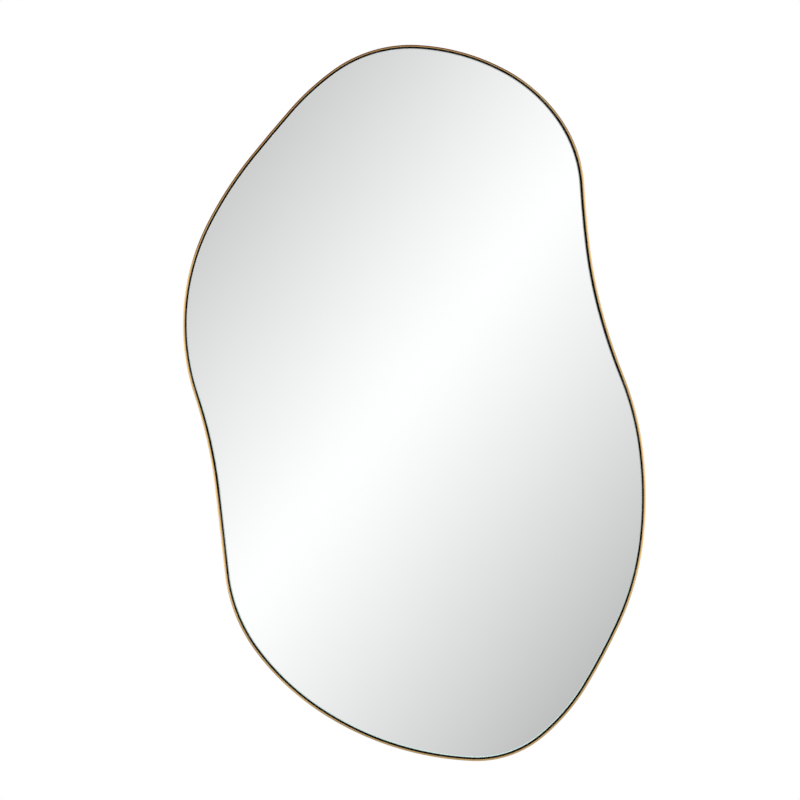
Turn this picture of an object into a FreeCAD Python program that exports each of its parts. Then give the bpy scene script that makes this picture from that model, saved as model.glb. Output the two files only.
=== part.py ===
import FreeCAD, Part
import math
import os
from collections import namedtuple

from FreeCAD import Placement, Rotation, Vector

# Wall mirror with a soft, uneven outline: a silvered pane bonded to a board, inside a thin brass band.
# Millimetres, X to the right as seen from the front, Y from the front to the wall, Z up.
# The outline is drawn about its own centre. Every piece is then moved so that the origin is the hanging
# point: on the wall, level with where the two upper rings bear on their hooks, midway between them.

# Overall size of the band.
OUTLINE_WIDTH = 762.0
OUTLINE_HEIGHT = 1179.0

# The band's outer edge, clockwise as seen from the front, drawn at its real size and then stretched to the
# width and height above. Each station is a point, right of and above the outline's centre, and the heading
# there in degrees from +X.
Station = namedtuple("Station", "x z heading")
DRAWN_STATIONS = {
    "right_flank": Station(x=376, z=-73, heading=-82.5),
    "right_hip": Station(x=338, z=-365, heading=-115),
    "toe_right": Station(x=211, z=-551, heading=-140.5),
    "toe_left": Station(x=-33, z=-567, heading=162.5),
    "heel": Station(x=-262, z=-408, heading=126.5),
    "left_waist": Station(x=-328, z=-139, heading=97),
    "left_cheek": Station(x=-379, z=167, heading=84),
    "left_brow": Station(x=-268, z=408, heading=51),
    "crown_left": Station(x=-134, z=548, heading=36),
    "crown_right": Station(x=152, z=548, heading=-28.5),
    "shoulder": Station(x=280, z=358, heading=-86.5),
    "right_waist": Station(x=308, z=158, heading=-75.5),
}
# The pane stands further off the band where the outline draws in.
WAISTS = ("left_waist", "shoulder", "right_waist")

# Band: a flat bar bent to the outline and welded into a ring. Its depth is that of what it holds. Its front
# is rounded over outwards from a narrow flat, and only softened inside.
BAND_THICKNESS = 3.0
BAND_FRONT_FLAT = 0.4
BAND_INNER_ROUND = 0.4
BAND_REAR_CHAMFER = 0.4

# Pane: float glass with a pencil-polished edge, silvered and filmed behind.
GLASS_GAP = 2.9
WAIST_GAP = 3.4
GLASS_SETBACK = 1.5
GLASS_THICKNESS = 4.0
GLASS_EDGE_ROUND = 1.8
SILVER_THICKNESS = 0.2
FILM_THICKNESS = 0.2

# Foam mounting tape between the pane and the board, in upright strips.
TAPE_THICKNESS = 1.0
TAPE_WIDTH = 25.0
TAPE_EDGE_MARGIN = 60.0
TAPE_COUNT = 5

# Backing board, with what is left of it in front of a screw's pilot hole.
BOARD_CLEARANCE = 0.3
BOARD_THICKNESS = 9.0
BOARD_CHAMFER = 0.8
BOARD_SKIN = 1.7

# Pan-head screws: small ones in the tabs and bumpers, large ones in the hangers.
SMALL_HEAD_DIAMETER = 7.0
SMALL_HEAD_HEIGHT = 2.2
SMALL_SHANK_DIAMETER = 3.5
LARGE_HEAD_DIAMETER = 8.0
LARGE_HEAD_HEIGHT = 2.4
LARGE_SHANK_DIAMETER = 4.0
HEAD_CHAMFER = 1.1
SCREW_HOLE_CLEARANCE = 0.25
PILOT_CLEARANCE = 0.1
PILOT_EXTRA_DEPTH = 0.8

# Tabs welded inside the band, which carry the board.
TAB_SHEET = 1.5
TAB_WIDTH = 18.0
TAB_REACH = 20.0
TAB_RISE = 7.0
TAB_BEND_RADIUS = 1.0
TAB_CORNER_RADIUS = 4.0
TAB_HOLE_FROM_BAND = 12.0
WELD_GAP = 0.1

# Hangers: a strap folded round the straight bar of a D-shaped ring.
STRAP_SHEET = 1.5
STRAP_WIDTH = 16.0
STRAP_LOOP_CLEARANCE = 0.25
STRAP_FOLD_RADIUS = 3.0
STRAP_HOLE_MARGIN = 2.2
STRAP_HOLE_PITCH = 20.0
STRAP_END_MARGIN = 8.0
STRAP_CORNER_RADIUS = 4.0
RING_WIRE = 4.0
RING_CORNER_RADIUS = 4.0
RING_LEG = 3.0
RING_SIDE_CLEARANCE = 1.0
RING_REST_CLEARANCE = 0.3
HANGER_TO_WALL = 2.6

# Where the hangers bear: an upper pair for hanging upright, and a side pair for hanging on its side.
# Each pair straddles the plumb line through the middle of the outline's area, to hang level.
HANG_BELOW_SHOULDER = 28.0
HANG_FROM_SHOULDER = 71.0
SIDE_HANG_ABOVE_CHEEK = 29.0
SIDE_HANG_FROM_WAIST = 70.0

# Rubber bumpers, which hold the band just off the wall.
BUMPER_PROUD = 1.0
BUMPER_BASE_DIAMETER = 18.0
BUMPER_TIP_DIAMETER = 15.0
BUMPER_TIP_CHAMFER = 1.0
BUMPER_FLOOR = 4.0
BUMPER_WELL_CLEARANCE = 0.5
BUMPER_FROM_BAND = 42.0
# Each bumper stands by the joint that follows a station.
BUMPER_AFTER = {
    "bumper_upper_left": "left_brow",
    "bumper_upper_right": "crown_right",
    "bumper_lower_right": "right_hip",
    "bumper_lower_left": "toe_left",
}

# Hanger sizes that follow: heights are above the board, lengths are from the middle of the ring's bar.
LOOP_INNER_RADIUS = RING_WIRE / 2 + STRAP_LOOP_CLEARANCE
LOOP_OUTER_RADIUS = LOOP_INNER_RADIUS + STRAP_SHEET
BAR_HEIGHT = STRAP_SHEET + LOOP_INNER_RADIUS
STRAP_TOP = 2 * STRAP_SHEET
FOLD_HEIGHT = STRAP_TOP - STRAP_SHEET / 2 + STRAP_FOLD_RADIUS
FOLD_LENGTH = math.sqrt(
    (LOOP_OUTER_RADIUS - STRAP_SHEET / 2 + STRAP_FOLD_RADIUS) ** 2 - (FOLD_HEIGHT - BAR_HEIGHT) ** 2)
FIRST_HOLE = FOLD_LENGTH + LARGE_HEAD_DIAMETER / 2 + STRAP_HOLE_MARGIN
STRAP_HOLES = (FIRST_HOLE, FIRST_HOLE + STRAP_HOLE_PITCH)
STRAP_LENGTH = STRAP_HOLES[-1] + STRAP_END_MARGIN
RING_HALF_WIDTH = STRAP_WIDTH / 2 + RING_SIDE_CLEARANCE + RING_CORNER_RADIUS
RING_REACH = RING_CORNER_RADIUS + RING_LEG + RING_HALF_WIDTH
BEARING_LENGTH = RING_REACH - RING_WIRE / 2
RING_LEAN = math.degrees(math.asin((BAR_HEIGHT - RING_WIRE / 2 - RING_REST_CLEARANCE) / RING_REACH))

# Depths, from the wall at zero towards the front.
BOARD_REAR_Y = -(BAR_HEIGHT + LOOP_OUTER_RADIUS + HANGER_TO_WALL)
BOARD_FRONT_Y = BOARD_REAR_Y - BOARD_THICKNESS
FILM_REAR_Y = BOARD_FRONT_Y - TAPE_THICKNESS
SILVER_REAR_Y = FILM_REAR_Y - FILM_THICKNESS
GLASS_REAR_Y = SILVER_REAR_Y - SILVER_THICKNESS
GLASS_FRONT_Y = GLASS_REAR_Y - GLASS_THICKNESS
BAND_FRONT_Y = GLASS_FRONT_Y - GLASS_SETBACK
BAND_REAR_Y = -BUMPER_PROUD
SCREW_BITE = BOARD_THICKNESS - BOARD_SKIN - PILOT_EXTRA_DEPTH

ScrewSize = namedtuple("ScrewSize", "head_diameter head_height shank_diameter")
SMALL_SCREW = ScrewSize(SMALL_HEAD_DIAMETER, SMALL_HEAD_HEIGHT, SMALL_SHANK_DIAMETER)
LARGE_SCREW = ScrewSize(LARGE_HEAD_DIAMETER, LARGE_HEAD_HEIGHT, LARGE_SHANK_DIAMETER)

X, Y, Z = Vector(1, 0, 0), Vector(0, 1, 0), Vector(0, 0, 1)
SAME_PLACE = 1e-6
STRAIGHT_TURN = 1e-4

# Outline

Stretch = namedtuple("Stretch", "start start_heading end end_heading")


def along(heading):
    """Unit vector along a heading."""
    return Vector(math.cos(heading), 0, math.sin(heading))


def inward(heading):
    """Unit vector to the right of a heading, which is into the outline."""
    return Vector(math.sin(heading), 0, -math.cos(heading))


def turn_between(heading, chord):
    """Signed angle from a heading to a chord."""
    turn = math.atan2(chord.z, chord.x) - heading
    return math.atan2(math.sin(turn), math.cos(turn))


def biarc(first, second):
    """Two tangent arcs, with legs of equal length, from one station to the next."""
    start, end = Vector(first.x, 0, first.z), Vector(second.x, 0, second.z)
    heading, end_heading = math.radians(first.heading), math.radians(second.heading)
    leaving, arriving = along(heading), along(end_heading)
    chord = end - start
    reach = chord.dot(leaving + arriving)
    opening = 2 * (1 - leaving.dot(arriving))
    if opening < SAME_PLACE:
        leg = chord.dot(chord) / (4 * chord.dot(arriving))
    else:
        leg = (math.sqrt(reach * reach + opening * chord.dot(chord)) - reach) / opening
    joint = (start + end + (leaving - arriving) * leg) * 0.5
    joint_heading = heading + 2 * turn_between(heading, joint - start)
    return [Stretch(start, heading, joint, joint_heading), Stretch(joint, joint_heading, end, end_heading)]


def outline_of(stations):
    """Closed chain of tangent arcs through the stations, two from each station to the next."""
    following = stations[1:] + stations[:1]
    return [stretch for pair in zip(stations, following) for stretch in biarc(*pair)]


def stretched_stations():
    """The drawn stations, stretched so that their outline has the overall width and height."""
    drawn = outline_wire(outline_of(list(DRAWN_STATIONS.values())), 0, 0).BoundBox
    wider, taller = OUTLINE_WIDTH / drawn.XLength, OUTLINE_HEIGHT / drawn.ZLength
    stretched = {}
    for name, station in DRAWN_STATIONS.items():
        heading = along(math.radians(station.heading))
        turned = math.degrees(math.atan2(heading.z * taller, heading.x * wider))
        stretched[name] = Station(station.x * wider, station.z * taller, turned)
    return stretched


def glass_stations():
    """The stations moved into the outline, past the band and the gap beside the pane."""
    moved = []
    for name, station in STATIONS.items():
        inset = BAND_THICKNESS + (WAIST_GAP if name in WAISTS else GLASS_GAP)
        step = inward(math.radians(station.heading)) * inset
        moved.append(Station(station.x + step.x, station.z + step.z, station.heading))
    return moved


def outline_wire(outline, inset, y):
    """The outline at a depth, moved inwards by an even inset: each arc keeps its centre and headings."""
    edges = []
    for stretch in outline:
        start = stretch.start + inward(stretch.start_heading) * inset + Y * y
        end = stretch.end + inward(stretch.end_heading) * inset + Y * y
        chord = end - start
        turn = turn_between(stretch.start_heading, chord)
        if abs(turn) < STRAIGHT_TURN:
            edges.append(Part.LineSegment(start, end).toShape())
            continue
        to_middle = along(stretch.start_heading + turn / 2) * (chord.Length / (2 * math.cos(turn / 2)))
        edges.append(Part.Arc(start, start + to_middle, end).toShape())
    return Part.Wire(edges)


def slab(outline, inset, front_y, rear_y):
    """Plate of the outline between two depths."""
    face = Part.Face(outline_wire(outline, inset, front_y))
    return face.extrude(Y * (rear_y - front_y))


def edges_at(shape, y):
    """Edges that lie in the plane at one depth."""
    boxes = [(edge, edge.BoundBox) for edge in shape.Edges]
    return [edge for edge, box in boxes if max(abs(box.YMin - y), abs(box.YMax - y)) < SAME_PLACE]


def shared_edges(shape, other, y):
    """Edges of a shape in the plane at one depth that another shape has too."""
    middles = [edge.CenterOfMass for edge in edges_at(other, y)]
    edges = edges_at(shape, y)
    return [edge for edge in edges if any(edge.CenterOfMass.isEqual(middle, SAME_PLACE) for middle in middles)]


STATIONS = stretched_stations()
BAND_OUTLINE = outline_of(list(STATIONS.values()))
GLASS_OUTLINE = outline_of(glass_stations())
PLUMB = Part.Face(outline_wire(BAND_OUTLINE, 0, 0)).CenterOfMass

# Places of the hardware, each a frame on the board's back with Y to the wall


def wall_sag(name):
    """How far the band's inner wall bows away across a tab's width; none where it bulges inwards."""
    after = 2 * list(STATIONS).index(name)
    sags = [0]
    for stretch in (BAND_OUTLINE[after - 1], BAND_OUTLINE[after]):
        chord = stretch.end - stretch.start
        turn = turn_between(stretch.start_heading, chord)
        if turn < -STRAIGHT_TURN:
            radius = chord.Length / (2 * math.sin(-turn)) - BAND_THICKNESS
            sags.append(radius - math.sqrt(radius ** 2 - (TAB_WIDTH / 2) ** 2))
    return max(sags)


def tab_frame(name):
    """Frame of a tab: X runs from the band's inner wall into the outline, and Z is across the tab."""
    station = STATIONS[name]
    heading = math.radians(station.heading)
    stand_off = BAND_THICKNESS + wall_sag(name) + WELD_GAP
    foot = Vector(station.x, BOARD_REAR_Y, station.z) + inward(heading) * stand_off
    return Placement(foot, Rotation(inward(heading), Y, along(heading) * -1, "XYZ"))


def hanger_frame(x, z, turn):
    """Frame of a hanger from where its ring bears: Z points from the ring's bar to its bow."""
    rotation = Rotation(Y, turn)
    bearing = Vector(x, BOARD_REAR_Y, z)
    return Placement(bearing - rotation.multVec(Z) * BEARING_LENGTH, rotation)


def bumper_frame(name):
    """Frame of a bumper, inwards of the joint between two stations and so clear of their tabs."""
    joint = BAND_OUTLINE[2 * list(STATIONS).index(BUMPER_AFTER[name])]
    middle = joint.end + inward(joint.end_heading) * BUMPER_FROM_BAND
    return Placement(Vector(middle.x, BOARD_REAR_Y, middle.z), Rotation())


UPWARD, TO_THE_LEFT = 0, -90
HANG_RIGHT_X = STATIONS["shoulder"].x - HANG_FROM_SHOULDER
HANG_LEFT_X = 2 * PLUMB.x - HANG_RIGHT_X
HANG_HEIGHT = STATIONS["shoulder"].z - HANG_BELOW_SHOULDER
SIDE_HANG_X = STATIONS["left_waist"].x + SIDE_HANG_FROM_WAIST
SIDE_HANG_TOP = STATIONS["left_cheek"].z + SIDE_HANG_ABOVE_CHEEK
SIDE_HANG_BOTTOM = 2 * PLUMB.z - SIDE_HANG_TOP
HANGERS = {
    "upper_left": hanger_frame(HANG_LEFT_X, HANG_HEIGHT, UPWARD),
    "upper_right": hanger_frame(HANG_RIGHT_X, HANG_HEIGHT, UPWARD),
    "side_upper": hanger_frame(SIDE_HANG_X, SIDE_HANG_TOP, TO_THE_LEFT),
    "side_lower": hanger_frame(SIDE_HANG_X, SIDE_HANG_BOTTOM, TO_THE_LEFT),
}
TAB_SEATS = [tab_frame(name).multVec(Vector(TAB_HOLE_FROM_BAND, TAB_SHEET, 0)) for name in STATIONS]
HANGER_SEATS = [
    frame.multVec(Vector(0, STRAP_TOP, -hole)) for frame in HANGERS.values() for hole in STRAP_HOLES
]
BUMPER_SEATS = [bumper_frame(name).multVec(Y * BUMPER_FLOOR) for name in BUMPER_AFTER]
SCREW_SEATS = {SMALL_SCREW: TAB_SEATS + BUMPER_SEATS, LARGE_SCREW: HANGER_SEATS}

# Pieces


def line(start, end):
    return Part.LineSegment(start, end).toShape()


def arc_about(centre, radius, across, up, first, last):
    """Arc between two angles in degrees, counted from one direction towards another."""
    points = []
    for degrees in (first, (first + last) / 2, last):
        angle = math.radians(degrees)
        points.append(centre + across * (radius * math.cos(angle)) + up * (radius * math.sin(angle)))
    return Part.Arc(*points)


def make_band():
    outer_round = BAND_THICKNESS - BAND_FRONT_FLAT - BAND_INNER_ROUND
    outer = slab(BAND_OUTLINE, 0, BAND_FRONT_Y, BAND_REAR_Y)
    outer = outer.makeFillet(outer_round, edges_at(outer, BAND_FRONT_Y))
    hollow = slab(BAND_OUTLINE, BAND_THICKNESS, BAND_FRONT_Y, BAND_REAR_Y)
    band = outer.cut(hollow)
    band = band.makeFillet(BAND_INNER_ROUND, shared_edges(band, hollow, BAND_FRONT_Y))
    return band.makeChamfer(BAND_REAR_CHAMFER, edges_at(band, BAND_REAR_Y))


def make_glass():
    pane = slab(GLASS_OUTLINE, 0, GLASS_FRONT_Y, GLASS_REAR_Y)
    return pane.makeFillet(GLASS_EDGE_ROUND, edges_at(pane, GLASS_FRONT_Y) + edges_at(pane, GLASS_REAR_Y))


def make_silver():
    return slab(GLASS_OUTLINE, GLASS_EDGE_ROUND, GLASS_REAR_Y, SILVER_REAR_Y)


def make_film():
    return slab(GLASS_OUTLINE, GLASS_EDGE_ROUND, SILVER_REAR_Y, FILM_REAR_Y)


def make_tapes():
    """Upright strips, each in the middle of its share of the pane's width. Their ends follow the outline."""
    bed = slab(GLASS_OUTLINE, TAPE_EDGE_MARGIN, FILM_REAR_Y, BOARD_FRONT_Y)
    box = bed.BoundBox
    tapes = []
    for number in range(TAPE_COUNT):
        middle = box.XMin + box.XLength * (number + 0.5) / TAPE_COUNT
        corner = Vector(middle - TAPE_WIDTH / 2, FILM_REAR_Y, box.ZMin)
        strip = Part.makeBox(TAPE_WIDTH, TAPE_THICKNESS, box.ZLength, corner)
        tapes.append(strip.common(bed).Solids[0])
    return tapes


def make_board():
    """Board with eased edges and a pilot hole for every screw."""
    board = slab(BAND_OUTLINE, BAND_THICKNESS + BOARD_CLEARANCE, BOARD_FRONT_Y, BOARD_REAR_Y)
    board = board.makeChamfer(BOARD_CHAMFER, edges_at(board, BOARD_FRONT_Y) + edges_at(board, BOARD_REAR_Y))
    pilots = []
    for size, seats in SCREW_SEATS.items():
        radius = size.shank_diameter / 2 + PILOT_CLEARANCE
        for seat in seats:
            mouth = Vector(seat.x, BOARD_REAR_Y, seat.z)
            pilots.append(Part.makeCylinder(radius, SCREW_BITE + PILOT_EXTRA_DEPTH, mouth, -Y))
    return board.cut(pilots)


def make_screw(size, clamped):
    """Screw along Y, its head on the origin and its plain shank reaching through what it clamps."""
    head, shank = size.head_diameter / 2, size.shank_diameter / 2
    tip = -(clamped + SCREW_BITE)
    section = Part.makePolygon([
        Y * size.head_height,
        Vector(head - HEAD_CHAMFER, size.head_height, 0),
        Vector(head, size.head_height - HEAD_CHAMFER, 0),
        X * head,
        X * shank,
        Vector(shank, tip, 0),
        Y * tip,
        Y * size.head_height,
    ])
    return Part.Face(section).revolve(Vector(), Y, 360)


def make_screws(size, clamped, seats):
    """One screw at each seat, square to the board."""
    screw = make_screw(size, clamped)
    return Part.makeCompound([screw.translated(seat) for seat in seats])


def make_tab(name):
    """Bent angle: one leg against the band, the other on the board with a screw hole."""
    outer = TAB_BEND_RADIUS + TAB_SHEET
    bend = Vector(outer, outer, -TAB_WIDTH / 2)
    back = arc_about(bend, outer, X, Y, 180, 270)
    front = arc_about(bend, TAB_BEND_RADIUS, X, Y, 270, 180)
    corners = [
        back.EndPoint,
        Vector(TAB_REACH, 0, bend.z),
        Vector(TAB_REACH, TAB_SHEET, bend.z),
        front.StartPoint,
    ]
    top = [
        front.EndPoint,
        Vector(TAB_SHEET, TAB_RISE, bend.z),
        Vector(0, TAB_RISE, bend.z),
        back.StartPoint,
    ]
    foot_edges = [line(a, b) for a, b in zip(corners, corners[1:])]
    top_edges = [line(a, b) for a, b in zip(top, top[1:])]
    section = Part.Wire([back.toShape()] + foot_edges + [front.toShape()] + top_edges)
    tab = Part.Face(section).extrude(Z * TAB_WIDTH)
    tip_edges = [
        edge for edge in tab.Edges
        if abs(edge.BoundBox.XMin - TAB_REACH) < SAME_PLACE and edge.BoundBox.ZLength < SAME_PLACE
    ]
    tab = tab.makeFillet(TAB_CORNER_RADIUS, tip_edges)
    radius = SMALL_SCREW.shank_diameter / 2 + SCREW_HOLE_CLEARANCE
    tab = tab.cut(Part.makeCylinder(radius, TAB_SHEET, X * TAB_HOLE_FROM_BAND, Y))
    tab.Placement = tab_frame(name)
    return tab


def make_strap(frame):
    """Strip folded round the ring's bar: a flat leg, a loop, and a second leg that closes on the first."""
    bar, fold = Y * BAR_HEIGHT, Vector(0, FOLD_HEIGHT, -FOLD_LENGTH)
    foot = -90
    to_fold = math.degrees(math.atan2(FOLD_HEIGHT - BAR_HEIGHT, -FOLD_LENGTH))
    from_bar, down = to_fold - 180, -90
    fold_out = STRAP_FOLD_RADIUS - STRAP_SHEET / 2
    fold_in = STRAP_FOLD_RADIUS + STRAP_SHEET / 2
    loop_outside = arc_about(bar, LOOP_OUTER_RADIUS, Z, Y, foot, to_fold)
    fold_outside = arc_about(fold, fold_out, Z, Y, from_bar, down)
    loop_inside = arc_about(bar, LOOP_INNER_RADIUS, Z, Y, foot, to_fold)
    fold_inside = arc_about(fold, fold_in, Z, Y, from_bar, down)
    corners = [
        fold_outside.EndPoint,
        Vector(0, STRAP_TOP, -STRAP_LENGTH),
        Vector(0, 0, -STRAP_LENGTH),
        loop_outside.StartPoint,
    ]
    legs = [line(a, b) for a, b in zip(corners, corners[1:])]
    outside = Part.Wire([loop_outside.toShape(), fold_outside.toShape()] + legs)
    crease = line(fold_inside.EndPoint, loop_inside.StartPoint)
    inside = Part.Wire([loop_inside.toShape(), fold_inside.toShape(), crease])
    across = X * STRAP_WIDTH
    strap = Part.Face(outside).extrude(across).cut(Part.Face(inside).extrude(across))
    strap.translate(across * -0.5)
    end_edges = [
        edge for edge in strap.Edges
        if abs(edge.BoundBox.ZMax + STRAP_LENGTH) < SAME_PLACE and edge.BoundBox.XLength < SAME_PLACE
    ]
    strap = strap.makeFillet(STRAP_CORNER_RADIUS, end_edges)
    radius = LARGE_SCREW.shank_diameter / 2 + SCREW_HOLE_CLEARANCE
    strap = strap.cut([Part.makeCylinder(radius, STRAP_TOP, Z * -hole, Y) for hole in STRAP_HOLES])
    strap.Placement = frame
    return strap


def make_ring(frame):
    """Wire bent to a D, its bar in the strap's loop and its bow leaning on the board."""
    half, corner = RING_HALF_WIDTH, RING_CORNER_RADIUS
    right = arc_about(Vector(half - corner, 0, corner), corner, X, Z, -90, 0)
    bow = arc_about(Z * (corner + RING_LEG), half, X, Z, 0, 180)
    left = arc_about(Vector(corner - half, 0, corner), corner, X, Z, 180, 270)
    path = Part.Wire([
        line(left.EndPoint, right.StartPoint),
        right.toShape(),
        line(right.EndPoint, bow.StartPoint),
        bow.toShape(),
        line(bow.EndPoint, left.StartPoint),
        left.toShape(),
    ])
    section = Part.Wire([Part.makeCircle(RING_WIRE / 2, left.EndPoint, X)])
    ring = Part.Solid(path.makePipeShell([section], True, False))
    ring.Placement = frame.multiply(Placement(Y * BAR_HEIGHT, Rotation(X, RING_LEAN)))
    return ring


def make_bumper(name):
    """Tapered rubber foot with a well for its screw."""
    height = -BOARD_REAR_Y
    body = Part.makeCone(BUMPER_BASE_DIAMETER / 2, BUMPER_TIP_DIAMETER / 2, height, Vector(), Y)
    body = body.makeChamfer(BUMPER_TIP_CHAMFER, edges_at(body, height))
    well_radius = SMALL_SCREW.head_diameter / 2 + BUMPER_WELL_CLEARANCE
    well = Part.makeCylinder(well_radius, height - BUMPER_FLOOR, Y * BUMPER_FLOOR, Y)
    hole = Part.makeCylinder(SMALL_SCREW.shank_diameter / 2 + SCREW_HOLE_CLEARANCE, BUMPER_FLOOR, Vector(), Y)
    bumper = body.cut([well, hole])
    bumper.Placement = bumper_frame(name)
    return bumper


def make_parts():
    """Every piece by name, drawn about the outline's centre."""
    parts = {
        "rim_band": make_band(),
        "mirror_glass": make_glass(),
        "silver_coating": make_silver(),
        "safety_film": make_film(),
        "backing_board": make_board(),
        "tab_screws": make_screws(SMALL_SCREW, TAB_SHEET, TAB_SEATS),
        "hanger_screws": make_screws(LARGE_SCREW, STRAP_TOP, HANGER_SEATS),
        "bumper_screws": make_screws(SMALL_SCREW, BUMPER_FLOOR, BUMPER_SEATS),
    }
    for number, tape in enumerate(make_tapes(), start=1):
        parts[f"bond_tape_{number}"] = tape
    for name in STATIONS:
        parts[f"tab_{name}"] = make_tab(name)
    for name, frame in HANGERS.items():
        parts[f"strap_{name}"] = make_strap(frame)
        parts[f"ring_{name}"] = make_ring(frame)
    for name in BUMPER_AFTER:
        parts[name] = make_bumper(name)
    return parts


def main():
    os.makedirs("parts", exist_ok=True)
    to_hanging_point = Vector(-PLUMB.x, 0, -HANG_HEIGHT)
    for name, shape in make_parts().items():
        shape.translate(to_hanging_point)
        shape.exportStep(f"parts/{name}.step")
        print(f"{name}: {len(shape.Solids)} solids, valid {shape.isValid()}, volume {shape.Volume:.0f} mm3")


main()
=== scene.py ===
import math
from collections import namedtuple

import bmesh
import bpy
from mathutils import Matrix, Vector


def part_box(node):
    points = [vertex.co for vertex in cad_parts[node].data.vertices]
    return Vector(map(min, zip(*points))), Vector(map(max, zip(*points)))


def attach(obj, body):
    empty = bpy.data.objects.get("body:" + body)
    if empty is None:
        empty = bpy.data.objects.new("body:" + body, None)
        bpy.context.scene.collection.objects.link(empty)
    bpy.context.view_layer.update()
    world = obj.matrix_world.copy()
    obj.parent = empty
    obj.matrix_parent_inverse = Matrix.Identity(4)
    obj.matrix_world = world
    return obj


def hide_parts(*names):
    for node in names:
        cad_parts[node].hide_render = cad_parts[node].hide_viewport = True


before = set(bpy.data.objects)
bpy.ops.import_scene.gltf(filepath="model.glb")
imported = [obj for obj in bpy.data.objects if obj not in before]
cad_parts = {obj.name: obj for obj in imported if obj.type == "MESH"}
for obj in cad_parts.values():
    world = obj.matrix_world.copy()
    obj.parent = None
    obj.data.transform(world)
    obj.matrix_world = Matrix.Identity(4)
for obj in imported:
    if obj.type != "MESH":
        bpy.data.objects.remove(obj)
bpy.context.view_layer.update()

# Wall mirror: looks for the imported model. Sizes are in millimetres and meshes in metres.
MM = 0.001

# Outline of the band, clockwise as seen from the front: points about the outline's centre, and headings.
OUTLINE_WIDTH = 762.0
OUTLINE_HEIGHT = 1179.0
Station = namedtuple("Station", "x z heading")
DRAWN_STATIONS = {
    "right_flank": Station(x=376, z=-73, heading=-82.5),
    "right_hip": Station(x=338, z=-365, heading=-115),
    "toe_right": Station(x=211, z=-551, heading=-140.5),
    "toe_left": Station(x=-33, z=-567, heading=162.5),
    "heel": Station(x=-262, z=-408, heading=126.5),
    "left_waist": Station(x=-328, z=-139, heading=97),
    "left_cheek": Station(x=-379, z=167, heading=84),
    "left_brow": Station(x=-268, z=408, heading=51),
    "crown_left": Station(x=-134, z=548, heading=36),
    "crown_right": Station(x=152, z=548, heading=-28.5),
    "shoulder": Station(x=280, z=358, heading=-86.5),
    "right_waist": Station(x=308, z=158, heading=-75.5),
}
WAISTS = ("left_waist", "shoulder", "right_waist")
# The outline's centre, from the hanging point.
CENTRE_X, CENTRE_Z = -5.834, -329.837

BAND_THICKNESS = 3.0
BAND_FRONT_Y, BAND_REAR_Y = -26.0, -1.0
BAND_OUTER_ROUND, BAND_INNER_ROUND = 2.2, 0.4
BAND_REAR_CHAMFER = 0.4
GLASS_GAP = 2.9
WAIST_GAP = 3.4
GLASS_FRONT_Y, GLASS_REAR_Y = -24.5, -20.5
GLASS_EDGE_ROUND = 1.8

# The board's back, and what stands on it: heights are above the board.
BOARD_REAR_Y = -10.1
TAB_SHEET, TAB_WIDTH, TAB_RISE = 1.5, 18.0, 7.0
STRAP_TOP = 3.0
BUMPER_BASE_RADIUS, BUMPER_TIP_RADIUS = 9.0, 7.5
BUMPER_FLOOR = 4.0
BUMPER_WELL_RADIUS, BUMPER_HOLE_RADIUS = 4.0, 2.0
BUMPER_LIP_ROUND, BUMPER_WELL_ROUND = 1.0, 0.5

# Pan-head screws with a cross recess.
ScrewSize = namedtuple("ScrewSize", "head_radius head_height shank_radius recess_span")
SMALL_SCREW = ScrewSize(head_radius=3.5, head_height=2.2, shank_radius=1.75, recess_span=4.0)
LARGE_SCREW = ScrewSize(head_radius=4.0, head_height=2.4, shank_radius=2.0, recess_span=4.6)
SCREW_BITE = 6.5
HEAD_EDGE_ROUND = 0.3
HEAD_CROWN_SHARE = 0.62
RECESS_WIDTH, RECESS_DEPTH, RECESS_TAPER = 0.95, 1.4, 0.45
# Each screw of a row is turned on by this much from the one before.
SCREW_TURN = math.radians(37)

# Weld beads up both sides of each tab.
WELD_RADIUS = 1.7
WELD_MARGIN = 0.4
WELD_RIPPLES = 5
WELD_RIPPLE = 0.09
WELD_END_POWER = 6

# How finely curves are drawn.
OUTLINE_STEP = math.radians(1.5)
ROUND_STEPS = 8
LATHE_STEPS = 48
WELD_RINGS = 40
FLOOR_STEPS = 96

# Edges that turn by more than these degrees stay sharp.
BAR_SHARP = 30
TURNED_SHARP = 35
BEAD_SHARP = 60

# Outline

Stretch = namedtuple("Stretch", "start heading chord turn")
Place = namedtuple("Place", "point heading travel")


def along(heading):
    """Unit vector along a heading."""
    return Vector((math.cos(heading), math.sin(heading)))


def inward(heading):
    """Unit vector to the right of a heading, which is into the outline."""
    return Vector((math.sin(heading), -math.cos(heading)))


def turn_between(heading, chord):
    """Signed angle from a heading to a chord."""
    turn = math.atan2(chord.y, chord.x) - heading
    return math.atan2(math.sin(turn), math.cos(turn))


def biarc(first, second):
    """Two tangent arcs, with legs of equal length, from one station to the next."""
    start, end = Vector((first.x, first.z)), Vector((second.x, second.z))
    heading = math.radians(first.heading)
    leaving, arriving = along(heading), along(math.radians(second.heading))
    chord = end - start
    reach = chord.dot(leaving + arriving)
    opening = 2 * (1 - leaving.dot(arriving))
    leg = (math.sqrt(reach * reach + opening * chord.dot(chord)) - reach) / opening
    joint = (start + end + (leaving - arriving) * leg) / 2
    arcs = []
    for corner, chord in ((start, joint - start), (joint, end - joint)):
        half_turn = turn_between(heading, chord)
        arcs.append(Stretch(corner, heading, chord, 2 * half_turn))
        heading += 2 * half_turn
    return arcs


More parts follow.
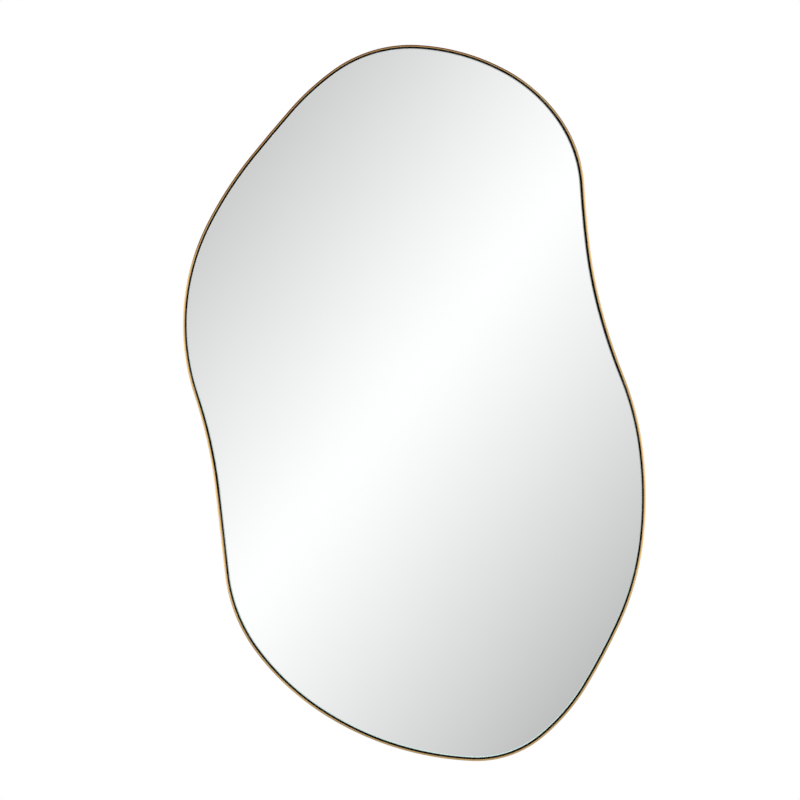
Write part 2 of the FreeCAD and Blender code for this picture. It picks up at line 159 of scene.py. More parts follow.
def outline_of(stations):
    """Places along the closed chain of arcs through the stations, with the length travelled so far."""
    places = []
    travel = 0
    for first, second in zip(stations, stations[1:] + stations[:1]):
        for arc in biarc(first, second):
            count = math.ceil(abs(arc.turn) / OUTLINE_STEP)
            radius = arc.chord.length / (2 * math.sin(arc.turn / 2))
            for number in range(count):
                turned = arc.turn * number / count
                step = along(arc.heading + turned / 2) * (2 * radius * math.sin(turned / 2))
                places.append(Place(arc.start + step, arc.heading + turned, travel + radius * turned))
            travel += radius * arc.turn
    return places


def stretched_stations():
    """The drawn stations, stretched so that their outline has the overall width and height."""
    places = outline_of(list(DRAWN_STATIONS.values()))
    across = [place.point.x for place in places]
    up = [place.point.y for place in places]
    wider = OUTLINE_WIDTH / (max(across) - min(across))
    taller = OUTLINE_HEIGHT / (max(up) - min(up))
    fitted = {}
    for name, station in DRAWN_STATIONS.items():
        heading = along(math.radians(station.heading))
        turned = math.degrees(math.atan2(heading.y * taller, heading.x * wider))
        fitted[name] = Station(station.x * wider, station.z * taller, turned)
    return fitted


def glass_stations():
    """The stations moved into the outline, past the band and the gap beside the pane."""
    moved = []
    for name, station in STATIONS.items():
        inset = BAND_THICKNESS + (WAIST_GAP if name in WAISTS else GLASS_GAP)
        step = inward(math.radians(station.heading)) * inset
        moved.append(Station(station.x + step.x, station.z + step.y, station.heading))
    return moved


STATIONS = stretched_stations()
BAND_PLACES = outline_of(list(STATIONS.values()))
GLASS_PLACES = outline_of(glass_stations())

# Meshes


def new_piece(name, mesh, body="mirror"):
    """Object for a finished mesh, riding on a body."""
    piece = bpy.data.objects.new(name, mesh)
    bpy.context.scene.collection.objects.link(piece)
    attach(piece, body)
    return piece


def arc_points(centre, radius, first, last):
    """Points on an arc between two angles in degrees."""
    angles = [math.radians(first + (last - first) * n / ROUND_STEPS) for n in range(ROUND_STEPS + 1)]
    return [(centre[0] + radius * math.cos(a), centre[1] + radius * math.sin(a)) for a in angles]


def sweep(name, places, profile, ring, caps):
    """Mesh of a profile of inset and depth carried along an outline, with lengths as its UV map."""
    count, sides = len(places), len(profile)
    vertices = []
    for place in places:
        for inset, y in profile:
            flat = place.point + inward(place.heading) * inset
            vertices.append(Vector((flat.x + CENTRE_X, y, flat.y + CENTRE_Z)) * MM)
    widths = [0]
    for (inset, y), (next_inset, next_y) in zip(profile, profile[1:] + profile[:1]):
        widths.append(widths[-1] + math.hypot(next_inset - inset, next_y - y))
    closing = (places[0].point - places[-1].point).length
    travels = [place.travel for place in places] + [places[-1].travel + closing]
    faces, corners = [], []
    for i in range(count):
        for j in range(sides if ring else sides - 1):
            around = [(i, j), (i + 1, j), (i + 1, j + 1), (i, j + 1)]
            faces.append([(a % count) * sides + b % sides for a, b in around])
            corners.append([(travels[a] * MM, widths[b] * MM) for a, b in around])
    for side in caps:
        faces.append([i * sides + side % sides for i in range(count)])
        corners.append([vertices[index].xz for index in faces[-1]])
    mesh = bpy.data.meshes.new(name)
    mesh.from_pydata(vertices, [], faces)
    layer = mesh.uv_layers.new(name="lengths")
    for loop, corner in zip(layer.data, [corner for face in corners for corner in face]):
        loop.uv = corner
    return mesh


def lathe(name, profile):
    """Closed mesh of a profile of radius and height turned about the Y axis."""
    work = bmesh.new()
    rings = []
    for radius, height in profile:
        steps = LATHE_STEPS if radius else 1
        angles = [math.tau * step / steps for step in range(steps)]
        places = [(radius * math.cos(angle), height, radius * math.sin(angle)) for angle in angles]
        rings.append([work.verts.new(place) for place in places])
    for ring, following in zip(rings, rings[1:] + rings[:1]):
        for step in range(LATHE_STEPS):
            around = [ring[step % len(ring)], ring[(step + 1) % len(ring)],
                      following[(step + 1) % len(following)], following[step % len(following)]]
            corners = list(dict.fromkeys(around))
            if len(corners) > 2:
                work.faces.new(corners)
    mesh = bpy.data.meshes.new(name)
    bmesh.ops.recalc_face_normals(work, faces=work.faces)
    work.to_mesh(mesh)
    work.free()
    return mesh


def cut(mesh, cutter):
    """The mesh with the cutter's shape taken out of it."""
    pair = [bpy.data.objects.new(part.name, part) for part in (mesh, cutter)]
    for item in pair:
        bpy.context.scene.collection.objects.link(item)
    body, tool = pair
    modifier = body.modifiers.new("cut", "BOOLEAN")
    modifier.operation = "DIFFERENCE"
    modifier.solver = "EXACT"
    modifier.object = tool
    graph = bpy.context.evaluated_depsgraph_get()
    result = bpy.data.meshes.new_from_object(body.evaluated_get(graph))
    for item in pair:
        bpy.data.objects.remove(item)
    return result


def copies(name, mesh, placements):
    """One mesh that holds the given mesh once at each placement, in metres."""
    work = bmesh.new()
    for placement in placements:
        first = len(work.verts)
        work.from_mesh(mesh)
        work.verts.ensure_lookup_table()
        bmesh.ops.transform(work, matrix=Matrix.Scale(MM, 4) @ placement, verts=work.verts[first:])
    joined = bpy.data.meshes.new(name)
    work.to_mesh(joined)
    work.free()
    return joined


def outward_normals(mesh):
    """Turn all faces of a closed mesh outwards."""
    work = bmesh.new()
    work.from_mesh(mesh)
    bmesh.ops.recalc_face_normals(work, faces=work.faces)
    work.to_mesh(mesh)
    work.free()


def shade(mesh, sharp_angle):
    """Smooth shading, with edges sharper than the angle left sharp."""
    mesh.shade_smooth()
    mesh.set_sharp_from_angle(angle=math.radians(sharp_angle))


# Materials

NOISE_LOW, NOISE_HIGH = 0.3, 0.7
# How far down the glass edge faces as it turns to the painted light of a brighter pale green, which stands
# in for light coming out through the pane's lower edge, and how far back the board faces where it is raw.
PAINTED_GLOW_RAMP = (-0.05, 0.35)
RAW_RAMP = (0.85, 0.95)


def add_node(tree, kind, settings=None, inputs=None):
    """New node with settings, and inputs that are values or other nodes' outputs."""
    node = tree.nodes.new(kind)
    for name, value in (settings or {}).items():
        setattr(node, name, value)
    for key, value in (inputs or {}).items():
        if isinstance(value, bpy.types.NodeSocket):
            tree.links.new(value, node.inputs[key])
        else:
            node.inputs[key].default_value = value
    return node


def math_node(tree, operation, first, second=0.0):
    node = add_node(tree, "ShaderNodeMath", {"operation": operation}, {0: first, 1: second})
    return node.outputs[0]


def noise(tree, vector, scale, detail=4.0, roughness=0.55):
    inputs = {"Vector": vector, "Scale": scale, "Detail": detail, "Roughness": roughness}
    return add_node(tree, "ShaderNodeTexNoise", None, inputs).outputs["Fac"]


def stretched(tree, vector, scale):
    """Coordinates scaled by a different factor along each axis."""
    return add_node(tree, "ShaderNodeMapping", None, {"Vector": vector, "Scale": scale}).outputs[0]


def remap(tree, value, low, high, to_low, to_high):
    inputs = {"Value": value, "From Min": low, "From Max": high, "To Min": to_low, "To Max": to_high}
    return add_node(tree, "ShaderNodeMapRange", None, inputs).outputs[0]


def vary(tree, value, low, high):
    """From low to high over the range that a noise mostly fills."""
    return remap(tree, value, NOISE_LOW, NOISE_HIGH, low, high)


def smooth_remap(tree, value, low, high):
    """Zero below the lower value, one above the higher one, and a soft rise between."""
    inputs = {"Value": value, "From Min": low, "From Max": high}
    return add_node(tree, "ShaderNodeMapRange", {"interpolation_type": "SMOOTHSTEP"}, inputs).outputs[0]


def mix_colour(tree, factor, first, second):
    node = add_node(tree, "ShaderNodeMix", {"data_type": "RGBA"}, {"Factor": factor})
    for socket, value in ((node.inputs[6], first), (node.inputs[7], second)):
        if isinstance(value, bpy.types.NodeSocket):
            tree.links.new(value, socket)
        else:
            socket.default_value = (*value, 1)
    return node.outputs[2]


def bump(tree, height, strength, distance):
    inputs = {"Height": height, "Strength": strength, "Distance": distance}
    return add_node(tree, "ShaderNodeBump", None, inputs).outputs[0]


def new_material(name):
    """Material with an empty principled shader, its tree, and object coordinates in metres."""
    material = bpy.data.materials.new(name)
    material.use_nodes = True
    tree = material.node_tree
    shader = tree.nodes["Principled BSDF"]
    place = add_node(tree, "ShaderNodeTexCoord").outputs["Object"]
    return material, tree, shader, place


def connect(tree, shader, inputs):
    """Set or link the shader's inputs."""
    for key, value in inputs.items():
        if isinstance(value, bpy.types.NodeSocket):
            tree.links.new(value, shader.inputs[key])
        elif key == "Base Color":
            shader.inputs[key].default_value = (*value, 1)
        else:
            shader.inputs[key].default_value = value


def brass_material(name, along_length):
    """Brushed brass under lacquer. The brush lines follow the bar where it has lengths as its UV map."""
    material, tree, shader, place = new_material(name)
    if along_length:
        lengths = add_node(tree, "ShaderNodeUVMap", {"uv_map": "lengths"}).outputs[0]
        lines = noise(tree, stretched(tree, lengths, (14, 5200, 1)), 1.0, 3.0)
        tangent = add_node(tree, "ShaderNodeTangent", {"direction_type": "UV_MAP", "uv_map": "lengths"})
        connect(tree, shader, {
            "Tangent": tangent.outputs[0],
            "Anisotropic": 0.4,
            "Anisotropic Rotation": 0.25,
        })
    else:
        lines = noise(tree, stretched(tree, place, (900, 900, 60)), 1.0, 3.0)
    clouds = noise(tree, place, 9.0)
    tone = mix_colour(tree, lines, (0.82, 0.53, 0.21), (0.94, 0.65, 0.30))
    tone = mix_colour(tree, remap(tree, clouds, 0.35, 0.75, 0.0, 0.35), tone, (0.78, 0.49, 0.19))
    connect(tree, shader, {
        "Base Color": tone,
        "Metallic": 1.0,
        "Roughness": vary(tree, lines, 0.15, 0.25),
        "Normal": bump(tree, lines, 0.12, 0.0002),
        "Coat Weight": 0.05,
        "Coat Roughness": 0.12,
    })
    return material


def mirror_material():
    """Silvering seen through clear glass, with the faintest haze."""
    material, tree, shader, place = new_material("mirror_front")
    haze = noise(tree, place, 6.0, 6.0)
    connect(tree, shader, {
        "Base Color": mix_colour(tree, haze, (0.955, 0.972, 0.965), (0.972, 0.98, 0.975)),
        "Metallic": 1.0,
        "Roughness": remap(tree, haze, 0.3, 0.8, 0.008, 0.025),
    })
    return material


def glass_edge_material():
    """Polished edge of float glass: grey, with painted light where it faces down: a brighter pale green
    that stands in for light coming out through the pane's lower edge.
    """
    material, tree, shader, place = new_material("glass_edge")
    depth = noise(tree, place, 160.0)
    normal = add_node(tree, "ShaderNodeNewGeometry").outputs["Normal"]
    upward = add_node(tree, "ShaderNodeSeparateXYZ", None, {0: normal}).outputs["Z"]
    # Painted light: where the edge faces down it is made brighter and greener, as if lit through the pane;
    # elsewhere it stays a darker grey.
    lit = smooth_remap(tree, math_node(tree, "MULTIPLY", upward, -1.0), *PAINTED_GLOW_RAMP)
    painted_glow_green = mix_colour(tree, depth, (0.60, 0.84, 0.81), (0.68, 0.90, 0.87))
    grey = mix_colour(tree, depth, (0.55, 0.60, 0.61), (0.63, 0.67, 0.68))
    connect(tree, shader, {
        "Base Color": mix_colour(tree, lit, grey, painted_glow_green),
        "Roughness": vary(tree, depth, 0.15, 0.25),
        "IOR": 1.52,
    })
    return material


def board_material():
    """Fibreboard: raw behind, with the front and edges painted black; that black is darker than real black
    paint, as painted shade for the deep gap beside the pane.
    """
    material, tree, shader, place = new_material("fibreboard")
    normal = add_node(tree, "ShaderNodeNewGeometry").outputs["True Normal"]
    facing = add_node(tree, "ShaderNodeSeparateXYZ", None, {0: normal}).outputs["Y"]
    raw = smooth_remap(tree, facing, *RAW_RAMP)
    fibres = noise(tree, place, 700.0, 6.0, 0.7)
    flecks = noise(tree, stretched(tree, place, (110, 110, 150)), 1.0, 6.0, 0.75)
    clouds = noise(tree, place, 5.0, 4.0)
    wood = mix_colour(tree, vary(tree, fibres, 0, 1), (0.27, 0.175, 0.10), (0.46, 0.325, 0.205))
    wood = mix_colour(tree, remap(tree, flecks, 0.52, 0.72, 0, 0.55), wood, (0.19, 0.12, 0.065))
    wood = mix_colour(tree, vary(tree, clouds, 0, 0.4), wood, (0.33, 0.22, 0.13))
    # Partly real black paint, partly painted shade: it is made darker than real black paint to stand for
    # the shade deep in the gap beside the pane.
    black_paint_and_gap_shade = mix_colour(tree, fibres, (0.006, 0.005, 0.005), (0.014, 0.012, 0.012))
    connect(tree, shader, {
        "Base Color": mix_colour(tree, raw, black_paint_and_gap_shade, wood),
        "Roughness": vary(tree, fibres, 0.7, 0.9),
        "Specular IOR Level": 0.15,
        "Normal": bump(tree, fibres, 0.25, 0.0003),
    })
    return material


def zinc_material():
    """Bright zinc plate: fine drawing lines, spangle and a little dullness."""
    material, tree, shader, place = new_material("zinc_plate")
    spangle = noise(tree, place, 260.0, 3.0)
    scratches = noise(tree, stretched(tree, place, (3000, 3000, 250)), 1.0, 2.0)
    tone = mix_colour(tree, spangle, (0.56, 0.57, 0.60), (0.78, 0.78, 0.77))
    connect(tree, shader, {
        "Base Color": tone,
        "Metallic": 1.0,
        "Roughness": remap(tree, scratches, 0.25, 0.75, 0.22, 0.42),
        "Normal": bump(tree, scratches, 0.08, 0.0001),
    })
    return material


def rubber_material():
    """Moulded black rubber with a dusty bloom."""
    material, tree, shader, place = new_material("black_rubber")
    grain = noise(tree, place, 1600.0, 3.0)
    bloom = noise(tree, place, 120.0, 4.0)
    connect(tree, shader, {
        "Base Color": mix_colour(tree, bloom, (0.016, 0.016, 0.017), (0.045, 0.044, 0.043)),
        "Roughness": vary(tree, bloom, 0.55, 0.75),
        "Normal": bump(tree, grain, 0.2, 0.0001),
    })
    return material


def foam_material():
    """Closed-cell foam tape."""
    material, tree, shader, place = new_material("foam_tape")
    voronoi = add_node(tree, "ShaderNodeTexVoronoi", None, {"Vector": place, "Scale": 1400.0})
    cells = voronoi.outputs["Distance"]
    connect(tree, shader, {
        "Base Color": mix_colour(tree, cells, (0.60, 0.60, 0.58), (0.82, 0.82, 0.80)),
        "Roughness": 0.8,
        "Normal": bump(tree, cells, 0.3, 0.0002),
    })
    return material


def film_material():
    """Grey-blue safety film with a woven backing."""
    material, tree, shader, place = new_material("safety_film")
    threads = add_node(tree, "ShaderNodeTexBrick", {"offset": 0.5}, {
        "Vector": place,
        "Scale": 320.0,
        "Color1": (0.42, 0.48, 0.54, 1),
        "Color2": (0.48, 0.53, 0.58, 1),
        "Mortar": (0.30, 0.35, 0.40, 1),
    })
    connect(tree, shader, {
        "Base Color": threads.outputs["Color"],
        "Roughness": remap(tree, threads.outputs["Fac"], 0, 1, 0.45, 0.65),
    })
    return material


def silver_material():
    """Silvering, a little streaky."""
    material, tree, shader, place = new_material("silver_back")
    streaks = noise(tree, stretched(tree, place, (20, 20, 200)), 1.0)
    connect(tree, shader, {
        "Base Color": mix_colour(tree, streaks, (0.72, 0.73, 0.73), (0.86, 0.87, 0.87)),
        "Metallic": 1.0,
        "Roughness": vary(tree, streaks, 0.15, 0.3),
    })
    return material


def weld_material():
    """Weld metal, browned by its heat."""
    material, tree, shader, place = new_material("weld_metal")
    scale = noise(tree, place, 420.0, 5.0)
    connect(tree, shader, {
        "Base Color": mix_colour(tree, scale, (0.22, 0.13, 0.07), (0.55, 0.37, 0.19)),
        "Metallic": 1.0,
        "Roughness": vary(tree, scale, 0.3, 0.55),
        "Normal": bump(tree, scale, 0.3, 0.0002),
    })
    return material


def dress(node_or_piece, *materials):
    """Give an object these materials in place of what it has."""
    slots = node_or_piece.data.materials
    slots.clear()
    for material in materials:
        slots.append(material)


BRASS_BAR = brass_material("brass_bar", along_length=True)
BRASS_TAB = brass_material("brass_tab", along_length=False)
MIRROR = mirror_material()
GLASS_EDGE = glass_edge_material()
BOARD = board_material()
ZINC = zinc_material()
RUBBER = rubber_material()
FOAM = foam_material()
FILM = film_material()
SILVER = silver_material()
WELD = weld_material()

# Band and pane

outer_round = arc_points((BAND_OUTER_ROUND, BAND_FRONT_Y + BAND_OUTER_ROUND), BAND_OUTER_ROUND, -180, -90)
inner_round = arc_points((BAND_THICKNESS - BAND_INNER_ROUND, BAND_FRONT_Y + BAND_INNER_ROUND),
                         BAND_INNER_ROUND, -90, 0)
rear_corners = [
    (BAND_THICKNESS, BAND_REAR_Y - BAND_REAR_CHAMFER),
    (BAND_THICKNESS - BAND_REAR_CHAMFER, BAND_REAR_Y),
    (BAND_REAR_CHAMFER, BAND_REAR_Y),
    (0, BAND_REAR_Y - BAND_REAR_CHAMFER),
]
band_mesh = sweep("brass_band", BAND_PLACES, outer_round + inner_round + rear_corners, ring=True, caps=[])
outward_normals(band_mesh)
shade(band_mesh, BAR_SHARP)
band = new_piece("brass_band", band_mesh)
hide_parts("rim_band")
dress(band, BRASS_BAR)

front_edge = arc_points((GLASS_EDGE_ROUND, GLASS_FRONT_Y + GLASS_EDGE_ROUND), GLASS_EDGE_ROUND, -90, -180)
rear_edge = arc_points((GLASS_EDGE_ROUND, GLASS_REAR_Y - GLASS_EDGE_ROUND), GLASS_EDGE_ROUND, 180, 90)
pane_mesh = sweep("mirror_pane", GLASS_PLACES, front_edge + rear_edge, ring=False, caps=[0, -1])
outward_normals(pane_mesh)
shade(pane_mesh, BAR_SHARP)
pane = new_piece("mirror_pane", pane_mesh)
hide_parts("mirror_glass")
dress(pane, MIRROR, GLASS_EDGE)
for face in pane_mesh.polygons:
    at_edge = len(face.vertices) == 4
    face.use_smooth = at_edge
    face.material_index = int(at_edge)

# Screws


def cross_prism(size):
    """Cutter for the recess: a cross that tapers towards its bottom."""
    arm, half = size.recess_span / 2, RECESS_WIDTH / 2
    quarter = [(arm, -half), (arm, half), (half, half)]
    cross = []
    for turn in range(4):
        sine, cosine = round(math.sin(turn * math.pi / 2)), round(math.cos(turn * math.pi / 2))
        cross += [(x * cosine - z * sine, x * sine + z * cosine) for x, z in quarter]
    top, bottom = size.head_height + RECESS_DEPTH, size.head_height - RECESS_DEPTH
    wider, narrower = 2 - RECESS_TAPER, RECESS_TAPER
    vertices = [(x * wider, top, z * wider) for x, z in cross]
    vertices += [(x * narrower, bottom, z * narrower) for x, z in cross]
    count = len(cross)
    faces = [list(range(count)), list(range(2 * count - 1, count - 1, -1))]
    faces += [[n, (n + 1) % count, count + (n + 1) % count, count + n] for n in range(count)]
    mesh = bpy.data.meshes.new("recess")
    mesh.from_pydata(vertices, [], faces)
    outward_normals(mesh)
    return mesh


def screw_mesh(size, clamped):
    """Pan head on a pointed shank, its underside at the origin."""
    tip = -(clamped + SCREW_BITE)
    crown_height = size.head_height * HEAD_CROWN_SHARE
    crown = [
        (size.head_radius * math.cos(angle), size.head_height - crown_height * (1 - math.sin(angle)))
        for angle in (math.pi / 2 * step / ROUND_STEPS for step in range(ROUND_STEPS))
    ]
    profile = [
        (0, tip),
        (size.shank_radius, tip + 2 * size.shank_radius),
        (size.shank_radius, 0),
        (size.head_radius - HEAD_EDGE_ROUND, 0),
        (size.head_radius, HEAD_EDGE_ROUND),
        *crown,
        (0, size.head_height),
    ]
    return cut(lathe("screw", profile), cross_prism(size))


def screw_seats(node):
    """Middle of each screw of a CAD node, found by the room between them."""
    widest = 2 * SMALL_SCREW.head_radius * MM
    groups = []
    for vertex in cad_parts[node].data.vertices:
        place = vertex.co.xz
        near = [group for group in groups if (group[0] - place).length < widest]
        if near:
            near[0].append(place)
        else:
            groups.append([place])
    return [sum(group, Vector((0, 0))) / len(group) / MM for group in groups]


def make_screws(node, size, clamped):
    placements = []
    for number, seat in enumerate(screw_seats(node)):
        spot = Matrix.Translation((seat.x, BOARD_REAR_Y + clamped, seat.y))
        placements.append(spot @ Matrix.Rotation(number * SCREW_TURN, 4, "Y"))
    mesh = copies(node + "_cross", screw_mesh(size, clamped), placements)
    shade(mesh, TURNED_SHARP)
    piece = new_piece(node + "_cross", mesh)
    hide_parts(node)
    dress(piece, ZINC)


make_screws("tab_screws", SMALL_SCREW, TAB_SHEET)
make_screws("hanger_screws", LARGE_SCREW, STRAP_TOP)
make_screws("bumper_screws", SMALL_SCREW, BUMPER_FLOOR)

# Bumpers

lip_top = -BOARD_REAR_Y
lip_centre = (BUMPER_TIP_RADIUS - BUMPER_LIP_ROUND, lip_top - BUMPER_LIP_ROUND)
well_centre = (BUMPER_WELL_RADIUS + BUMPER_WELL_ROUND, lip_top - BUMPER_WELL_ROUND)
bumper_mesh = lathe("bumper", [
    (BUMPER_HOLE_RADIUS, 0),
    (BUMPER_BASE_RADIUS, 0),
    *arc_points(lip_centre, BUMPER_LIP_ROUND, 0, 90),
    *arc_points(well_centre, BUMPER_WELL_ROUND, 90, 180),
    (BUMPER_WELL_RADIUS, BUMPER_FLOOR),
    (BUMPER_HOLE_RADIUS, BUMPER_FLOOR),
])
for node in [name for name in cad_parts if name.startswith("bumper_") and name != "bumper_screws"]:
    low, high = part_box(node)
    middle = (low + high) / 2 / MM
    mesh = copies(node + "_rubber", bumper_mesh, [Matrix.Translation((middle.x, BOARD_REAR_Y, middle.z))])
    shade(mesh, TURNED_SHARP)
    piece = new_piece(node + "_rubber", mesh)
    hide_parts(node)
    dress(piece, RUBBER)

# Weld beads


def bead_mesh():
    """Rippled bead along Y, from the foot of a tab's leg to its top."""
    length = TAB_RISE - 2 * WELD_MARGIN
    profile = []
    for ring in range(WELD_RINGS + 1):
        share = ring / WELD_RINGS
        swell = math.sqrt(max(0, 1 - (2 * share - 1) ** WELD_END_POWER))
        ripple = 1 + WELD_RIPPLE * math.sin(math.tau * WELD_RIPPLES * share)
        profile.append((WELD_RADIUS * swell * ripple, WELD_MARGIN + length * share))
    return lathe("bead", profile)


bead_places = []
for station in STATIONS.values():
    heading = math.radians(station.heading)
    corner = Vector((station.x + CENTRE_X, station.z + CENTRE_Z)) + inward(heading) * BAND_THICKNESS
    for side in (-1, 1):
        spot = corner + along(heading) * (side * TAB_WIDTH / 2)
        bead_places.append(Matrix.Translation((spot.x, BOARD_REAR_Y, spot.y)))
weld_mesh = copies("tab_welds", bead_mesh(), bead_places)
shade(weld_mesh, BEAD_SHARP)
welds = new_piece("tab_welds", weld_mesh)
dress(welds, WELD)

# CAD pieces that stay

NODE_MATERIALS = {
    "silver_coating": SILVER,
    "safety_film": FILM,
    "backing_board": BOARD,
    "bond_tape": FOAM,
    "tab": BRASS_TAB,
    "strap": ZINC,
    "ring": ZINC,
}
for name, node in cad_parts.items():
    for start, material in NODE_MATERIALS.items():
        if name.startswith(start):
            dress(node, material)
            break

# Floor, light and camera

FLOOR_Z = -1.15
FLOOR_RADIUS, FLOOR_FADE_RADIUS = 1.5, 0.9
CAMERA_DISTANCE = 6.0
PICTURE_WIDTH = 1.3163
PICTURE_CENTRE = Vector((-0.0293, BAND_FRONT_Y * MM, -0.3251))
SENSOR_WIDTH = 36.0
# Soft lamps: one before the mirror, one behind it, and a weak one at its foot that lights the pane alone.
Lamp = namedtuple("Lamp", "place target size watts")
FRONT_LAMP = Lamp(place=(-1.6, -2.4, 1.6), target=(0, 0, -0.3), size=(1.6, 1.6), watts=60)
REAR_LAMP = Lamp(place=(1.4, 2.2, 1.6), target=(0, 0, -0.3), size=(1.6, 1.6), watts=60)
FOOT_LAMP = Lamp(place=(0.16, -0.24, -1.03), target=(0.16, 0, -0.9), size=(0.6, 0.25), watts=0.4)


def floor_material():
    """Pale matt floor that fades out towards its edge."""
    material, tree, shader, place = new_material("pale_floor")
    cloud = noise(tree, place, 3.0)
    connect(tree, shader, {
        "Base Color": mix_colour(tree, cloud, (0.90, 0.90, 0.90), (0.93, 0.93, 0.93)),
        "Roughness": 0.9,
        "Specular IOR Level": 0.1,
    })
    away = add_node(tree, "ShaderNodeVectorMath", {"operation": "LENGTH"}, {0: place}).outputs["Value"]
    faded = smooth_remap(tree, away, FLOOR_FADE_RADIUS, FLOOR_RADIUS)
    clear = add_node(tree, "ShaderNodeBsdfTransparent")
    mix = add_node(tree, "ShaderNodeMixShader", None, {0: faded, 1: shader.outputs[0], 2: clear.outputs[0]})
    tree.links.new(mix.outputs[0], tree.nodes["Material Output"].inputs["Surface"])
    return material


def make_floor():
    mesh = bpy.data.meshes.new("floor")
    work = bmesh.new()
    bmesh.ops.create_circle(work, cap_ends=True, radius=FLOOR_RADIUS, segments=FLOOR_STEPS)
    work.to_mesh(mesh)
    work.free()
    floor = bpy.data.objects.new("floor", mesh)
    floor.location = (0, 0, FLOOR_Z)
    floor.visible_glossy = False
    bpy.context.scene.collection.objects.link(floor)
    dress(floor, floor_material())


# The studio's light is brightest on a slanting line in front, falls off to both sides of it,
# and rises again round the room. Ramps are in parts of a unit direction.
GLOW_SLANT = math.radians(38)
GLOW_HALF_WIDTH = 0.098
GLOW_PEAK = 1.024
GLOW_FALL = 5.68
GLOW_FALL_MORE = 4.75
GLOW_SOFTNESS = 0.008
ROOM_RISE, ROOM_RISE_END = 0.34, 0.5
CEILING_COLOUR, CEILING_RAMP = (0.38, 0.38, 0.38), (0.11, 0.4)
GROUND_COLOUR, GROUND_RAMP = (0.80, 0.79, 0.79), (0.11, 0.4)
# It is brighter from both sides, and dimmer beside and just behind the mirror.
SIDE_GAIN, SIDE_RAMP = 1.7, (0.35, 0.7)
FLAG_GAIN, FLAG_START_RAMP, FLAG_END_RAMP = 0.5, (-0.1, 0.3), (0.5, 0.8)
# A brown card over the top, which only polished things show.
CARD_SIZE = (2.0, 1.8)
CARD_PLACE = (-0.3, -0.5, 0.55)
CARD_TILT = math.radians(-20)


def build_world():
    world = bpy.data.worlds.new("studio")
    bpy.context.scene.world = world
    world.use_nodes = True
    tree = world.node_tree
    direction = add_node(tree, "ShaderNodeTexCoord").outputs["Generated"]
    axes = add_node(tree, "ShaderNodeSeparateXYZ", None, {0: direction}).outputs
    right = math_node(tree, "MULTIPLY", axes["X"], math.cos(GLOW_SLANT))
    down = math_node(tree, "MULTIPLY", axes["Z"], math.sin(GLOW_SLANT))
    across = math_node(tree, "ABSOLUTE", math_node(tree, "SUBTRACT", right, down))
    near = math_node(tree, "MINIMUM", across, GLOW_HALF_WIDTH)
    squared = math_node(tree, "MULTIPLY", near, near)
    softened = math_node(tree, "SQRT", math_node(tree, "ADD", squared, GLOW_SOFTNESS ** 2))
    fall = math_node(tree, "MULTIPLY", softened, GLOW_FALL)
    fall = math_node(tree, "ADD", fall, math_node(tree, "MULTIPLY", squared, GLOW_FALL_MORE))
    glow = math_node(tree, "SUBTRACT", GLOW_PEAK + GLOW_FALL * GLOW_SOFTNESS, fall)
    rise = remap(tree, smooth_remap(tree, across, GLOW_HALF_WIDTH, ROOM_RISE_END), 0, 1, 0, ROOM_RISE)
    glow = math_node(tree, "ADD", glow, rise)
    above = smooth_remap(tree, axes["Z"], *CEILING_RAMP)
    below = smooth_remap(tree, math_node(tree, "MULTIPLY", axes["Z"], -1.0), *GROUND_RAMP)
    beside = smooth_remap(tree, math_node(tree, "ABSOLUTE", axes["X"]), *SIDE_RAMP)
    beside = math_node(tree, "MULTIPLY", beside, math_node(tree, "SUBTRACT", 1.0, below))
    gain = remap(tree, beside, 0, 1, 1.0, SIDE_GAIN)
    flag_start = smooth_remap(tree, axes["Y"], *FLAG_START_RAMP)
    flagged = math_node(tree, "SUBTRACT", flag_start, smooth_remap(tree, axes["Y"], *FLAG_END_RAMP))
    gain = math_node(tree, "MULTIPLY", gain, remap(tree, flagged, 0, 1, 1.0, FLAG_GAIN))
    level = math_node(tree, "MULTIPLY", glow, gain)
    tint = mix_colour(tree, above, (1, 1, 1), CEILING_COLOUR)
    tint = mix_colour(tree, below, tint, GROUND_COLOUR)
    room = add_node(tree, "ShaderNodeBackground", None, {"Color": tint, "Strength": level})
    white = add_node(tree, "ShaderNodeBackground", None, {"Color": (1, 1, 1, 1), "Strength": 1.0})
    seen = add_node(tree, "ShaderNodeLightPath").outputs["Is Camera Ray"]
    mix = add_node(tree, "ShaderNodeMixShader", None, {0: seen, 1: room.outputs[0], 2: white.outputs[0]})
    tree.links.new(mix.outputs[0], tree.nodes["World Output"].inputs["Surface"])


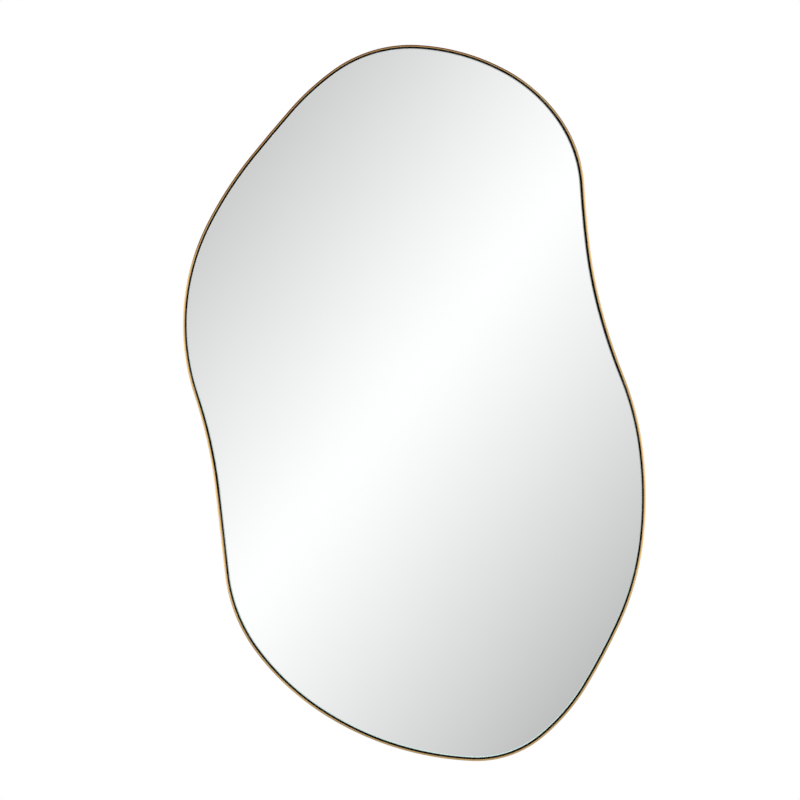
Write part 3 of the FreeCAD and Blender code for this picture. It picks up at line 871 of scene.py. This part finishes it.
def card_material():
    material, tree, shader, place = new_material("brown_card")
    grain = noise(tree, place, 4.0)
    connect(tree, shader, {
        "Base Color": mix_colour(tree, grain, (0.25, 0.088, 0.022), (0.29, 0.104, 0.03)),
        "Roughness": 0.9,
    })
    return material


def make_card():
    half_width, half_depth = CARD_SIZE[0] / 2, CARD_SIZE[1] / 2
    corners = [(-half_width, -half_depth, 0), (half_width, -half_depth, 0),
               (half_width, half_depth, 0), (-half_width, half_depth, 0)]
    mesh = bpy.data.meshes.new("brown_card")
    mesh.from_pydata(corners, [], [(0, 1, 2, 3)])
    card = bpy.data.objects.new("brown_card", mesh)
    card.location = CARD_PLACE
    card.rotation_euler = (0, CARD_TILT, 0)
    card.visible_camera = False
    card.visible_diffuse = False
    card.visible_shadow = False
    bpy.context.scene.collection.objects.link(card)
    dress(card, card_material())


def add_lamp(name, plan):
    """Soft light that the mirror does not show."""
    light = bpy.data.lights.new(name, "AREA")
    light.shape = "RECTANGLE"
    light.size, light.size_y = plan.size
    light.energy = plan.watts
    lamp = bpy.data.objects.new(name, light)
    lamp.location = plan.place
    aim = Vector(plan.target) - lamp.location
    lamp.rotation_euler = aim.to_track_quat("-Z", "Y").to_euler()
    lamp.visible_glossy = False
    lamp.visible_camera = False
    bpy.context.scene.collection.objects.link(lamp)
    return lamp


def light_alone(lamp, piece):
    """Let a lamp light one piece and nothing else."""
    lit = bpy.data.collections.new("lit_by_" + lamp.name)
    lit.objects.link(piece)
    lamp.light_linking.receiver_collection = lit


def make_camera():
    data = bpy.data.cameras.new("camera")
    data.sensor_width = SENSOR_WIDTH
    data.lens = SENSOR_WIDTH * CAMERA_DISTANCE / PICTURE_WIDTH
    data.clip_end = 100
    camera = bpy.data.objects.new("camera", data)
    camera.location = PICTURE_CENTRE - Vector((0, CAMERA_DISTANCE, 0))
    camera.rotation_euler = (math.radians(90), 0, 0)
    bpy.context.scene.collection.objects.link(camera)
    bpy.context.scene.camera = camera


make_floor()
make_card()
build_world()
add_lamp("front_lamp", FRONT_LAMP)
add_lamp("rear_lamp", REAR_LAMP)
light_alone(add_lamp("foot_lamp", FOOT_LAMP), pane)
make_camera()
bpy.context.scene.view_settings.view_transform = "Standard"
